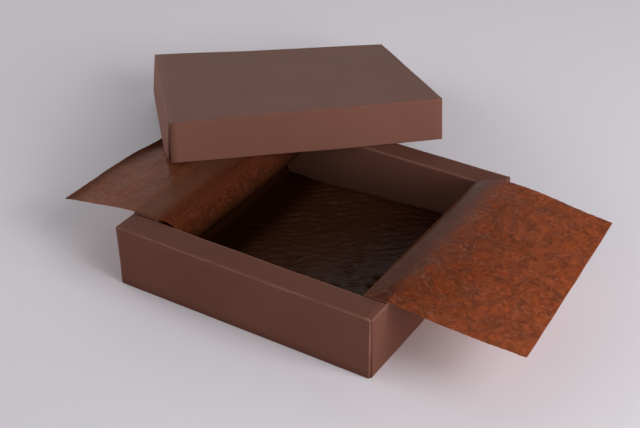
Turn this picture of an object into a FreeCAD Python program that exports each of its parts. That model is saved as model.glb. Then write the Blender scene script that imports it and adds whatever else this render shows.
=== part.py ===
"""Praline box: a card tray with hollow walls, its lid laid askew across one corner, and a glassine liner.

The frame stands in the middle of the tray's floor: +X runs along the long hollow walls, +Y to the far wall,
+Z up. Lengths are millimetres and angles degrees.

Three pieces, each folded or cut from one sheet:
  tray   one card blank: floor, two long hollow walls with corner tabs, two end walls rolled over between them
  lid    one card blank: top panel, front and back walls, two side walls whose tabs are glued behind them
  liner  one strip of glassine, laid through the tray and out over both end walls
"""

import FreeCAD, Part
import Sketcher
import math
import os

DRIVING_SIZES = {
    # tray
    "tray_length": 140.0,        # outside, end panel to end panel
    "tray_width": 140.0,         # outside, long wall to long wall
    "wall_height": 32.5,         # long walls, table to rim
    "rim_width": 13.5,           # outside face to cavity face of every hollow wall
    "card": 0.45,                # thickness of the board
    "fold_radius": 0.9,          # outside radius of a creased and folded edge
    "end_rise": 0.6,             # end walls stand this much above the long walls
    "shoulder_drop": 0.15,       # cut shoulders of an end panel, below its rolled-over rim
    "corner_reveal": 0.9,        # end panel's cut edge, set back from the tray's corner at the rim
    "corner_relief": 0.9,        # the same edge, set back further at the table
    "seam": 0.3,                 # clearance between panels of the blank that meet edge to edge
    "floor_flap": 14.0,          # flap of an inner wall, glued down on the floor
    # lid
    "lid_clearance": 0.25,       # all round, between the tray and the tabs in the lid's corners
    "lid_height": 22.1,
    "lid_reveal": 0.3,           # cut edge of a front or back wall, set back from the lid's corner
    "lid_tab": 12.0,
    "lid_splay": 2.0,            # the left wall's bottom edge stands out by this much
    # where the lid lies: the middle of its front wall's bottom edge, and the direction of that edge
    "lid_x": -28.7,
    "lid_y": 36.8,
    "lid_yaw": 42.1,
    # liner
    "film": 0.2,
    "liner_side_gap": 0.5,       # each side, between the strip and the long walls
    "rest_gap": 0.2,             # between things that only lie on one another
    "left_overhang": 44.0,       # flap past the left end wall
    "right_overhang": 65.8,      # flap past the right end wall, along its near edge
    "right_skew": 6.2,           # the right end is cut off square, so its far corner is this much shorter
    "left_droop": 7.3,           # how far the left flap's end hangs below the rim, along its near edge
    "right_droop": 2.8,          # how far the right flap's end hangs below the rim, along its near edge
    "right_arch": 7.0,           # how far the right flap's far edge springs up just past the rim
    "roll_reach": 25.6,          # left wall to the corner that the strip's left side rolls over short of
    "roll_radius": 7.5,
    "tuck_height": 5.5,          # corner of the fold that it tucks back to, at the foot of the left wall
    "floor_bow": 4.2,            # the springy strip meets the floor at its left bend and bows up by this much
}


class Size:
    """A length together with the spreadsheet expression that drives it."""

    def __init__(self, value, text):
        self.value = value
        self.text = text

    def combine(self, other, sign, result):
        text = other.text if isinstance(other, Size) else repr(float(other))
        return Size(result, f"({self.text} {sign} {text})")

    def __add__(self, other):
        return self.combine(other, "+", self.value + number(other))

    def __sub__(self, other):
        return self.combine(other, "-", self.value - number(other))

    def __mul__(self, other):
        return self.combine(other, "*", self.value * number(other))

    def __truediv__(self, other):
        return self.combine(other, "/", self.value / number(other))

    def __neg__(self):
        return self * -1


def number(length):
    """The value of a Size or of a plain number."""
    return length.value if isinstance(length, Size) else float(length)


def make_sheet(doc):
    """Puts every driving size into a spreadsheet, and returns them as Sizes by name."""
    sheet = doc.addObject("Spreadsheet::Sheet", "Sizes")
    for row, (name, value) in enumerate(DRIVING_SIZES.items(), start=1):
        sheet.set(f"A{row}", name)
        sheet.set(f"B{row}", str(value))
        sheet.setAlias(f"B{row}", name)
    doc.recompute()
    return {name: Size(value, f"Sizes.{name}") for name, value in DRIVING_SIZES.items()}


def make_body(doc, name):
    body = doc.addObject("PartDesign::Body", name)
    body.Label = name
    return body


def make_sketch(body, name, plane, offset=None):
    """A sketch on one of the body's origin planes, moved along that plane's normal by offset."""
    sketch = body.newObject("Sketcher::SketchObject", name)
    support = [feature for feature in body.Origin.OriginFeatures if feature.Role == plane]
    sketch.AttachmentSupport = (support[0], [""])
    sketch.MapMode = "FlatFace"
    if offset is not None:
        sketch.setExpression(".AttachmentOffset.Base.z", offset.text)
    return sketch


def pin(sketch, geometry, point, x, y):
    """Ties one point of the sketch to its coordinates in the sheet."""
    for kind, length in (("DistanceX", x), ("DistanceY", y)):
        index = sketch.addConstraint(Sketcher.Constraint(kind, -1, 1, geometry, point, length.value))
        sketch.setExpression(f"Constraints[{index}]", length.text)


def step(start, end):
    """Signs of the direction from one corner to the next; outlines run square to the axes."""
    return [(b.value > a.value + 1e-9) - (b.value < a.value - 1e-9) for a, b in zip(start, end)]


def draw_outline(sketch, corners):
    """Draws one closed outline. A corner is (x, y) where it is cut, and (x, y, radius) where the card folds.

    A folded corner is a quarter circle that starts and ends one radius from the corner.
    """
    count = len(corners)
    plans = []
    for i, corner in enumerate(corners):
        place = corner[:2]
        if len(corner) == 2:
            plans.append((place, place, None))
            continue
        radius = corner[2]
        back = step(place, corners[i - 1][:2])
        ahead = step(place, corners[(i + 1) % count][:2])
        arrive = [c + radius * s for c, s in zip(place, back)]
        leave = [c + radius * s for c, s in zip(place, ahead)]
        centre = [c + radius * s for c, s in zip(arrive, ahead)]
        plans.append((arrive, leave, (centre, radius)))

    lines = []
    for i, (_, leave, _) in enumerate(plans):
        arrive = plans[(i + 1) % count][0]
        ends = [FreeCAD.Vector(x.value, y.value, 0) for x, y in (leave, arrive)]
        lines.append(sketch.addGeometry(Part.LineSegment(*ends), False))
        pin(sketch, lines[-1], 2, *arrive)

    for i, (arrive, leave, fold) in enumerate(plans):
        before = lines[i - 1] if i else lines[-1]
        after = lines[i]
        if fold is None:
            sketch.addConstraint(Sketcher.Constraint("Coincident", before, 2, after, 1))
            continue
        pin(sketch, after, 1, *leave)
        centre, radius = fold
        middle = FreeCAD.Vector(centre[0].value, centre[1].value, 0)
        angles = []
        for x, y in (arrive, leave):
            angles.append(math.atan2(y.value - middle.y, x.value - middle.x))
        turn = (angles[1] - angles[0]) % (2 * math.pi)
        forward = turn < math.pi
        start, end = angles if forward else reversed(angles)
        circle = Part.Circle(middle, FreeCAD.Vector(0, 0, 1), radius.value)
        arc = sketch.addGeometry(Part.ArcOfCircle(circle, start, end), False)
        at_before, at_after = (1, 2) if forward else (2, 1)
        sketch.addConstraint(Sketcher.Constraint("Coincident", arc, at_before, before, 2))
        sketch.addConstraint(Sketcher.Constraint("Coincident", arc, at_after, after, 1))
        index = sketch.addConstraint(Sketcher.Constraint("DistanceX", -1, 1, arc, 3, middle.x))
        sketch.setExpression(f"Constraints[{index}]", centre[0].text)


def pad(body, name, sketch, length, both_ways=False):
    """Pads a sketch along its plane's normal, or half the length each way."""
    feature = body.newObject("PartDesign::Pad", name)
    feature.Profile = sketch
    feature.setExpression("Length", length.text)
    if both_ways:
        feature.SideType = "Symmetric"
    return feature


def mirrored(corners):
    """The same outline on the other side of the sketch's vertical axis."""
    return [(-corner[0], *corner[1:]) for corner in corners]


def flipped(corners):
    """The same outline on the other side of the sketch's horizontal axis."""
    return [(corner[0], -corner[1], *corner[2:]) for corner in corners]


def make_tray(doc, s):
    """The tray, one blank: long walls folded into hollow tubes, with end walls rolled over between them."""
    body = make_body(doc, "tray")
    zero = Size(0.0, "0")
    card, fold = s["card"], s["fold_radius"]
    inner_fold = fold - card
    half_x, half_y = s["tray_length"] / 2, s["tray_width"] / 2
    rim_z = s["wall_height"]
    end_z = rim_z + s["end_rise"]
    cavity_x, cavity_y = half_x - s["rim_width"], half_y - s["rim_width"]
    panel_x = half_x - card          # inner face of an end panel
    crease = fold * 2

    # End panels and the floor between them, folded up along the two short sides.
    end_panels = make_sketch(body, "EndPanelSection", "XZ_Plane")
    shoulder_z = end_z - s["shoulder_drop"]
    draw_outline(end_panels, [
        (-half_x, zero, fold), (half_x, zero, fold), (half_x, shoulder_z), (panel_x, shoulder_z),
        (panel_x, card, inner_fold), (-panel_x, card, inner_fold), (-panel_x, shoulder_z),
        (-half_x, shoulder_z),
    ])
    pad(body, "EndPanels", end_panels, s["tray_width"] - s["corner_reveal"] * 2, both_ways=True)

    # The cut edges of the end panels lean away from the corners towards the table.
    relief = make_sketch(body, "ReliefOutline", "YZ_Plane")
    rim_edge = half_y - s["corner_reveal"]
    right_relief = [(rim_edge - s["corner_relief"], zero), (half_y, zero), (half_y, end_z), (rim_edge, end_z)]
    draw_outline(relief, right_relief)
    draw_outline(relief, mirrored(right_relief))
    cut = body.newObject("PartDesign::Pocket", "CornerRelief")
    cut.Profile = relief
    cut.SideType = "Symmetric"
    cut.Type = "ThroughAll"

    # Floor and both hollow long walls, as one section: outer wall, rim and inner wall down to the floor.
    long_walls = make_sketch(body, "LongWallSection", "YZ_Plane")
    draw_outline(long_walls, [
        (-half_y, zero, fold), (half_y, zero, fold), (half_y, rim_z, fold), (cavity_y, rim_z, fold),
        (cavity_y, card), (-cavity_y, card), (-cavity_y, rim_z, fold), (-half_y, rim_z, fold),
    ])
    hollow = [
        (cavity_y + card, card), (half_y - card, card, inner_fold),
        (half_y - card, rim_z - card, inner_fold), (cavity_y + card, rim_z - card, inner_fold),
    ]
    draw_outline(long_walls, hollow)
    draw_outline(long_walls, mirrored(hollow))
    pad(body, "LongWalls", long_walls, (panel_x - fold) * 2, both_ways=True)

    # Rim and inner wall run on past the corner folds, to a seam's width from the end panels.
    rim_ends = make_sketch(body, "RimEndSection", "YZ_Plane")
    rim_end = [
        (half_y - fold, rim_z), (cavity_y, rim_z, fold), (cavity_y, card), (cavity_y + card, card),
        (cavity_y + card, rim_z - card, inner_fold), (half_y - fold, rim_z - card),
    ]
    draw_outline(rim_ends, rim_end)
    draw_outline(rim_ends, mirrored(rim_end))
    pad(body, "RimEnds", rim_ends, (panel_x - s["seam"]) * 2, both_ways=True)

    # Corner tabs: each long outer wall turns the corner and lies behind the end panel, closing the tube.
    tabs = make_sketch(body, "CornerTabPlan", "XY_Plane", offset=fold)
    tab_end = cavity_y + card + s["seam"]
    tab = [
        (panel_x - crease, half_y), (panel_x, half_y, fold), (panel_x, tab_end), (panel_x - card, tab_end),
        (panel_x - card, half_y - card, inner_fold), (panel_x - crease, half_y - card),
    ]
    for corner in (tab, mirrored(tab), flipped(tab), flipped(mirrored(tab))):
        draw_outline(tabs, corner)
    pad(body, "CornerTabs", tabs, rim_z - crease)

    # End walls roll over between the long walls: rim, then inner wall down to the floor.
    rolled = make_sketch(body, "RolledRimSection", "XZ_Plane")
    rolled_rim = [
        (half_x, end_z - crease), (half_x, end_z, fold), (cavity_x, end_z, fold), (cavity_x, card),
        (cavity_x + card, card), (cavity_x + card, end_z - card, inner_fold),
        (panel_x, end_z - card, inner_fold), (panel_x, end_z - crease),
    ]
    draw_outline(rolled, rolled_rim)
    draw_outline(rolled, mirrored(rolled_rim))
    pad(body, "RolledRims", rolled, (cavity_y - s["seam"]) * 2, both_ways=True)

    # Floor flaps of the four inner walls, mitred where they meet.
    flaps = make_sketch(body, "FloorFlapPlan", "XY_Plane", offset=card)
    tip_x, tip_y = cavity_x - s["floor_flap"], cavity_y - s["floor_flap"]
    side_y, side_tip_y = cavity_y - s["seam"] * 2, tip_y - s["seam"] * 2
    far_flap = [(-cavity_x, cavity_y), (cavity_x, cavity_y), (tip_x, tip_y), (-tip_x, tip_y)]
    right_flap = [(cavity_x, side_y), (cavity_x, -side_y), (tip_x, -side_tip_y), (tip_x, side_tip_y)]
    for outline in (far_flap, flipped(far_flap), right_flap, mirrored(right_flap)):
        draw_outline(flaps, outline)
    pad(body, "FloorFlaps", flaps, card)
    return body


def lid_size(s, tray_side):
    """Outside length of the lid along one side: the tray, clearance, and wall and tab at either end."""
    return tray_side + (s["lid_clearance"] + s["card"] * 2) * 2


def make_lid(doc, s):
    """The lid in its own frame, open side down, with its origin in the middle of its rim's plane."""
    body = make_body(doc, "lid")
    zero = Size(0.0, "0")
    card, fold = s["card"], s["fold_radius"]
    inner_fold = fold - card
    half_x, half_y = lid_size(s, s["tray_length"]) / 2, lid_size(s, s["tray_width"]) / 2
    top_z = s["lid_height"]
    wall_z = top_z - fold * 1.2      # side walls hang from here, just below the crease
    tab_y = half_y - card            # outer face of the corner tabs, against the front and back walls

    sides = make_sketch(body, "SideFoldSection", "XZ_Plane")
    draw_outline(sides, [
        (-half_x, wall_z), (-half_x, top_z, fold), (half_x, top_z, fold), (half_x, wall_z),
        (half_x - card, wall_z), (half_x - card, top_z - card, inner_fold),
        (-half_x + card, top_z - card, inner_fold), (-half_x + card, wall_z),
    ])
    pad(body, "SideFolds", sides, (tab_y - fold) * 2, both_ways=True)

    front_back = make_sketch(body, "FrontBackSection", "YZ_Plane")
    draw_outline(front_back, [
        (-half_y, zero), (-half_y, top_z, fold), (half_y, top_z, fold), (half_y, zero),
        (half_y - card, zero), (half_y - card, top_z - card, inner_fold),
        (-half_y + card, top_z - card, inner_fold), (-half_y + card, zero),
    ])
    pad(body, "FrontAndBack", front_back, (half_x - s["lid_reveal"]) * 2, both_ways=True)

    # The top panel's cut corners reach past both creases.
    top = make_sketch(body, "TopPlan", "XY_Plane", offset=top_z - card)
    corner_x, corner_y = half_x - inner_fold, half_y - inner_fold
    step_x, step_y = half_x - fold, tab_y - fold
    draw_outline(top, [
        (-corner_x, corner_y), (-step_x, corner_y), (step_x, corner_y), (corner_x, corner_y),
        (corner_x, step_y), (step_x, step_y), (step_x, -step_y), (corner_x, -step_y),
        (corner_x, -corner_y), (-corner_x, -corner_y), (-corner_x, -step_y), (-step_x, -step_y),
        (-step_x, step_y), (-corner_x, step_y),
    ])
    pad(body, "TopPanel", top, card)

    # Side walls: wall, corner folds and the tabs glued behind the front and back walls.
    for name, shift, splay in (("Right", zero, zero), ("Left", s["lid_splay"], s["lid_splay"])):
        plan = make_sketch(body, f"{name}WallPlan", "XY_Plane")
        outer = half_x + shift
        tip = outer - s["lid_tab"]
        wall = [
            (tip, -tab_y), (outer, -tab_y, fold), (outer, tab_y, fold), (tip, tab_y), (tip, tab_y - card),
            (outer - card, tab_y - card, inner_fold), (outer - card, card - tab_y, inner_fold),
            (tip, card - tab_y),
        ]
        draw_outline(plan, wall if name == "Right" else mirrored(wall))
        side = pad(body, f"{name}Wall", plan, wall_z)
        if splay.value:
            side.UseCustomVector = True
            side.setExpression("Direction.x", splay.text)
            side.setExpression("Direction.y", "0")
            side.setExpression("Direction.z", wall_z.text)
    return body


def place_lid(lid, s):
    """Lays the lid askew: its front wall bridges the left and far rims, and its back corner is on the table.

    The front wall's bottom edge falls a little from the left end wall, where the liner is under it, to the
    far wall. The lid turns about that edge until its lowest corner is half a rest gap above the table.
    Returns the front and the back end of the left wall's bottom edge, which lies on the liner's left flap.
    """
    v = {name: size.value for name, size in s.items()}
    half_x, half_y = v["tray_length"] / 2, v["tray_width"] / 2
    lid_length = lid_size(s, s["tray_length"]).value
    lid_width = lid_size(s, s["tray_width"]).value
    yaw = math.radians(v["lid_yaw"])
    along = FreeCAD.Vector(math.cos(yaw), math.sin(yaw), 0)
    back = FreeCAD.Vector(-math.sin(yaw), math.cos(yaw), 0)
    edge_middle = FreeCAD.Vector(v["lid_x"], v["lid_y"], 0)

    left_reach = (v["rim_width"] - half_x - edge_middle.x) / along.x
    far_reach = (half_y - edge_middle.y) / along.y
    left_z = v["wall_height"] + v["end_rise"] + v["film"] + v["rest_gap"] * 2
    far_z = v["wall_height"] + v["rest_gap"]
    fall = (far_z - left_z) / (far_reach - left_reach)
    edge_middle.z = left_z - fall * left_reach
    along = FreeCAD.Vector(along.x, along.y, fall).normalize()

    low_corner_z = edge_middle.z - abs(along.z) * lid_length / 2
    tilt = math.asin((low_corner_z - v["rest_gap"] / 2) / lid_width)
    back = FreeCAD.Vector(back.x * math.cos(tilt), back.y * math.cos(tilt), -math.sin(tilt))
    up = along.cross(back).normalize()
    back = up.cross(along)

    middle = edge_middle + back * (lid_width / 2)
    turn = FreeCAD.Rotation(along, back, up, "XYZ")
    lid.Placement = FreeCAD.Placement(middle, turn)
    left_x = -lid_length / 2 - v["lid_splay"]
    wall_y = lid_width / 2 - v["card"]
    return [lid.Placement.multVec(FreeCAD.Vector(left_x, y, 0)) for y in (-wall_y, wall_y)]


def offset_run(corners, runs, side):
    """Edges of one side of a bent strip, offset from its middle line: lines joined by tangent arcs."""
    normals = [FreeCAD.Vector(-run.z, 0, run.x) for run in runs]
    edges = []
    last = corners[0][0] + normals[0] * side
    for i, (place, radius) in enumerate(corners[1:-1]):
        before, after = runs[i], runs[i + 1]
        turns_up = before.x * after.z - before.z * after.x > 0
        inside = 1 if turns_up else -1
        inward = (after - before).normalize()
        centre = place + inward * (radius / math.cos(before.getAngle(after) / 2))
        reach = radius - side * inside
        start = centre - normals[i] * (reach * inside)
        end = centre - normals[i + 1] * (reach * inside)
        edges.append(Part.LineSegment(last, start).toShape())
        edges.append(Part.Arc(start, centre - inward * reach, end).toShape())
        last = end
    edges.append(Part.LineSegment(last, corners[-1][0] + normals[-1] * side).toShape())
    return edges


def ribbon(middle_line, thickness, y):
    """The closed section of a bent strip in the plane at y, half its thickness either side of a middle line.

    The middle line's corners are (x, z, bend radius).
    """
    corners = [(FreeCAD.Vector(x, y, z), radius) for x, z, radius in middle_line]
    runs = [(b - a).normalize() for (a, _), (b, _) in zip(corners, corners[1:])]
    lower = offset_run(corners, runs, -thickness / 2)
    upper = offset_run(corners, runs, thickness / 2)
    left_end = Part.LineSegment(upper[0].firstVertex().Point, lower[0].firstVertex().Point).toShape()
    right_end = Part.LineSegment(lower[-1].lastVertex().Point, upper[-1].lastVertex().Point).toShape()
    return Part.Wire([*lower, right_end, *reversed(upper), left_end])


def pressed_down(x, near_z, half_width, lid_edge, clear):
    """Height of the strip's far edge at x, where the lid's bottom edge crosses over the strip and presses it.

    The strip runs straight across from its near edge's height, and passes just under the lid's edge.
    """
    front, back = lid_edge
    cross = front + (back - front) * ((x - front.x) / (back.x - front.x))
    return near_z + (cross.z - clear - near_z) * (half_width * 2 / (cross.y + half_width))


def make_liner(doc, s, lid_edge):
    """The liner: a springy strip that hangs out over both end walls and bows up off the floor.

    Its left side rolls over inside the rim and is tucked back under itself to the foot of the left wall.

    Its near edge and its far edge run differently: outside the tray the lid presses the left flap's far side
    down, and the right flap's far side arches up. The strip is lofted from one edge to the other.
    """
    v = {name: size.value for name, size in s.items()}
    wall_x = v["tray_length"] / 2
    cavity_x = wall_x - v["rim_width"]
    half_width = v["tray_width"] / 2 - v["rim_width"] - v["liner_side_gap"]
    clear = v["rest_gap"] + v["film"] / 2
    over_z = v["wall_height"] + v["end_rise"] + clear
    floor_z = v["card"] * 2 + clear
    roll_x = v["roll_reach"] - cavity_x
    left_x, right_x = -wall_x - v["left_overhang"], wall_x + v["right_overhang"]
    bow = v["floor_bow"]
    left_mid_x = left_x + v["left_overhang"] / 2
    left_mid_z = over_z - v["left_droop"] * 0.44
    left_end_z = over_z - v["left_droop"]
    under_lid = half_width, lid_edge, clear * 1.5
    over_left_rim = [(-wall_x - 1.0, over_z, 12.0), (-cavity_x + 1.0, over_z, 60.0)]
    tucked_back = [
        (-cavity_x - 1.0, v["tuck_height"], 1.2), (13.5 - cavity_x, v["tuck_height"] + 3.3, 2.5),
        (16.2 - cavity_x, floor_z - 0.25, 2.5), (30.0 - cavity_x, floor_z + bow * 0.8, 20.0),
    ]
    trough = [
        *tucked_back,
        (cavity_x * 0.55, floor_z + bow * 1.5, 40.0), (cavity_x - 4.5, floor_z + bow * 2.2, 9.0),
        (cavity_x - clear, over_z, v["fold_radius"] + clear),
    ]
    near = [
        (left_x, left_end_z, 0), (left_mid_x, left_mid_z, 60.0),
        *over_left_rim, (roll_x, over_z - 0.4, v["roll_radius"]), *trough,
        (wall_x + 5.0, over_z + 0.8, 30.0), (wall_x + v["right_overhang"] / 3, over_z - 1.8, 40.0),
        (right_x, over_z - v["right_droop"], 0),
    ]
    far = [
        (left_x, pressed_down(left_x, left_end_z, *under_lid), 0),
        (left_mid_x, pressed_down(left_mid_x, left_mid_z, *under_lid), 60.0),
        *over_left_rim, (roll_x, over_z - 1.5, v["roll_radius"]), *trough,
        (wall_x + 0.5, over_z + v["right_arch"], 12.0),
        (wall_x + v["right_overhang"] * 0.46, over_z + v["right_arch"] / 2, 200.0),
        (right_x - v["right_skew"], over_z - 0.1, 0),
    ]
    liner = doc.addObject("Part::Feature", "liner")
    liner.Label = "liner"
    edges = [ribbon(near, v["film"], -half_width), ribbon(far, v["film"], half_width)]
    liner.Shape = Part.makeLoft(edges, True, True)
    return liner


def check(doc):
    """Stops if any object of the document failed."""
    for item in doc.Objects:
        if "Invalid" in item.State or "Error" in item.State:
            raise RuntimeError(f"{item.Name}: {item.State}")


def export(piece):
    """Writes a piece's solid under its own name."""
    shape = piece.Shape
    if shape.isNull() or not shape.isValid() or len(shape.Solids) != 1:
        raise RuntimeError(f"{piece.Label}: not one valid solid")
    shape.exportStep(os.path.join("parts", f"{piece.Label}.step"))
    box = shape.BoundBox
    print(f"{piece.Label}: {box.XLength:.1f} x {box.YLength:.1f} x {box.ZLength:.1f}, from z {box.ZMin:.2f}")


def main():
    doc = FreeCAD.newDocument("PralineBox")
    sizes = make_sheet(doc)
    tray = make_tray(doc, sizes)
    lid = make_lid(doc, sizes)
    doc.recompute()
    liner = make_liner(doc, sizes, place_lid(lid, sizes))
    doc.recompute()
    check(doc)
    os.makedirs("parts", exist_ok=True)
    for piece in (tray, lid, liner):
        export(piece)


main()
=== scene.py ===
"""Praline box, dressed for looks: a tray and a lid folded from chocolate card, and a glassine liner.

Each folded piece is made as a maker would make it: panels of one blank, carried along folded paths and given
the card's thickness. The liner is one crinkled translucent strip. Sizes in this file are in millimetres and
are turned into metres where a mesh is made. The frame has +X along the long hollow walls, +Y towards the wall
that the lid lies across, and +Z up, with its origin in the middle of the tray's underside.
"""

import logging
import math
from dataclasses import dataclass
from enum import Enum
from typing import Any, Callable, Sequence

import bpy
import numpy as np
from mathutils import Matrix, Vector


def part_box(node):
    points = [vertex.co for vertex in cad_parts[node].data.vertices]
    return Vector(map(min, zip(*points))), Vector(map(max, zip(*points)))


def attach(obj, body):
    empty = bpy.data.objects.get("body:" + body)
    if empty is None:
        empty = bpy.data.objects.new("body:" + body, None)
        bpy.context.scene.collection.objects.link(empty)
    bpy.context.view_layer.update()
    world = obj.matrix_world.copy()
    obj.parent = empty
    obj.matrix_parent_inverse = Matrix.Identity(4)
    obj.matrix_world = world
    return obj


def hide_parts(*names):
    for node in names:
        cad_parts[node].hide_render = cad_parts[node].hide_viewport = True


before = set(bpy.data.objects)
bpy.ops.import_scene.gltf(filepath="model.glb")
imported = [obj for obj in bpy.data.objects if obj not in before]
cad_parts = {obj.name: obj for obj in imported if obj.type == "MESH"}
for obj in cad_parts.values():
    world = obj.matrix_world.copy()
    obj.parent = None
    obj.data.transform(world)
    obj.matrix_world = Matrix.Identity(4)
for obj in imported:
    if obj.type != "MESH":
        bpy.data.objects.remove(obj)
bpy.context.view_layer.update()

log = logging.getLogger("praline_box")

MM = 0.001                     # metres in a millimetre
CREST_REACH = 0.7                # how far from a fold the paling of its crest, wear with a painted highlight, has faded to 1/e, in millimetres
FINE_POINTS = (0.5, 1.3)       # where a run gets its extra points, in millimetres from either end
SHORT_RUN = 4.0                # a run up to this long gets none
LEAST_TURN = 1e-4              # radians that a straight corner is taken to turn by
LEAST_LENGTH = 1e-6            # millimetres under which a run is one point
TINY = 1e-9                    # the least that a vector's length is divided by
Colour = tuple[float, float, float, float]
Limit = float | Callable[[np.ndarray], np.ndarray]


def smooth_step(value: np.ndarray, low: float, high: float) -> np.ndarray:
    """Eases from 0 at low to 1 at high: 3t^2 - 2t^3, where t is how far value has come, kept within 0 and 1.

    Args:
        value: Any array of numbers.
        low: The value at which the result leaves 0.
        high: The value at which it reaches 1.

    Returns:
        An array shaped like value.
    """
    t = np.clip((value - low) / (high - low), 0.0, 1.0)
    return t * t * (3.0 - 2.0 * t)


@dataclass(frozen=True)
class Waves:
    """A random wavy field over a plane, in which many plane waves are added.

    Attributes:
        shortest: Shortest wavelength.
        longest: Longest wavelength.
        angle: Direction in which the waves travel, in degrees from the first coordinate.
        spread: Standard deviation of that direction, in degrees.
        count: How many waves are added.
        seed: Start of the random numbers.
    """

    shortest: float
    longest: float
    angle: float
    spread: float
    count: int
    seed: int

    def at(self, across: np.ndarray, along: np.ndarray) -> np.ndarray:
        """The sum of sin(k.p + phase) over the waves, scaled to a standard deviation of 1.

        Args:
            across: First coordinate of every point.
            along: Second coordinate, shaped like the first.

        Returns:
            The field at every point.
        """
        dice = np.random.default_rng(self.seed)
        heading = np.radians(self.angle + self.spread * dice.standard_normal(self.count))
        lengths = np.exp(dice.uniform(math.log(self.shortest), math.log(self.longest), self.count))
        phase = dice.uniform(0.0, 2.0 * math.pi, self.count)
        total = np.zeros_like(across)
        for k, h, p in zip(2.0 * math.pi / lengths, heading, phase):
            total += np.sin(k * (np.cos(h) * across + np.sin(h) * along) + p)
        return total * math.sqrt(2.0 / self.count)


# ---- Folded paths and the panels that they carry ----


@dataclass
class FoldedPath:
    """A line that runs straight between corners and bends round an arc at each one.

    The corners may differ from station to station across a sheet, so that a fold can run askew.

    Attributes:
        corners: Corner points, shaped (corners, stations, 2), or (corners, 2) for one station.
        radii: Bend radius at each corner; the two ends have none.
        step: Longest piece that a straight run is divided into.
        arc_parts: How many pieces each arc is divided into.
        fine_ends: Whether a run gets extra points close to its ends.
    """

    corners: np.ndarray
    radii: Sequence[float]
    step: float = 4.0
    arc_parts: int = 8
    fine_ends: bool = True

    def sample(self) -> tuple[np.ndarray, np.ndarray]:
        """Points along the path, evenly spread over each run and each arc.

        At a corner that turns by w with radius r, the arc begins r*tan(w/2) before the corner. Its centre is
        r/cos(w/2) from the corner, along the line that halves the corner. Its points are the centre plus
        (sin((1-t)w) * a + sin(tw) * b) * r / sin(w), where a and b point from the centre to its two ends.

        Returns:
            The points, shaped (points, stations, 2), and how close each is to a fold, from 1 to 0.
        """
        corners = np.asarray(self.corners, dtype=float)
        if corners.ndim == 2:
            corners = corners[:, None, :]
        runs = np.diff(corners, axis=0)
        directions = runs / np.linalg.norm(runs, axis=2, keepdims=True)
        starts, ends, arcs = [corners[0]], [], []
        for i in range(1, len(corners) - 1):
            before, after, radius = directions[i - 1], directions[i], self.radii[i]
            turn = np.arccos(np.clip((before * after).sum(axis=1), -1.0, 1.0))
            turn = np.maximum(turn, LEAST_TURN)[:, None]
            bisector = after - before
            bisector /= np.maximum(np.linalg.norm(bisector, axis=1, keepdims=True), TINY)
            centre = corners[i] + bisector * radius / np.cos(turn / 2)
            begin = corners[i] - before * radius * np.tan(turn / 2)
            finish = corners[i] + after * radius * np.tan(turn / 2)
            t = np.linspace(0.0, 1.0, self.arc_parts + 1)[1:-1, None, None]
            arc = np.sin((1 - t) * turn) * (begin - centre) + np.sin(t * turn) * (finish - centre)
            arcs.append(centre + arc / np.sin(turn))
            ends.append(begin)
            starts.append(finish)
        ends.append(corners[-1])

        points, closeness = [], []
        last = len(starts) - 1
        for i, (start, end) in enumerate(zip(starts, ends)):
            length = float(np.linalg.norm(end - start, axis=1).mean())
            t = self.run_parts(length)
            points.append(start + (end - start) * t[:, None, None])
            from_fold = np.minimum(t * length if i else np.inf, (1 - t) * length if i < last else np.inf)
            closeness.append(np.exp(-(from_fold / CREST_REACH) ** 2))
            if i < last:
                points.append(arcs[i])
                closeness.append(np.ones(len(arcs[i])))
        return np.concatenate(points), np.concatenate(closeness)

    def run_parts(self, length: float) -> np.ndarray:
        """Divides a straight run evenly, and more finely close to its ends.

        Args:
            length: Of the run, in millimetres.

        Returns:
            Where its points are, as shares of its length.
        """
        if length < LEAST_LENGTH:
            return np.zeros(1)
        even = np.linspace(0.0, length, max(2, math.ceil(length / self.step) + 1))
        if self.fine_ends and length > SHORT_RUN:
            close = np.array(FINE_POINTS)
            even = np.unique(np.concatenate([even, close, length - close]))
        return even / length


class Plane(Enum):
    """The plane that a panel's folded path lies in: its two axes, then the axis that the panel runs along."""

    XZ = (0, 2, 1)
    YZ = (1, 2, 0)
    XY = (0, 1, 2)


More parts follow.
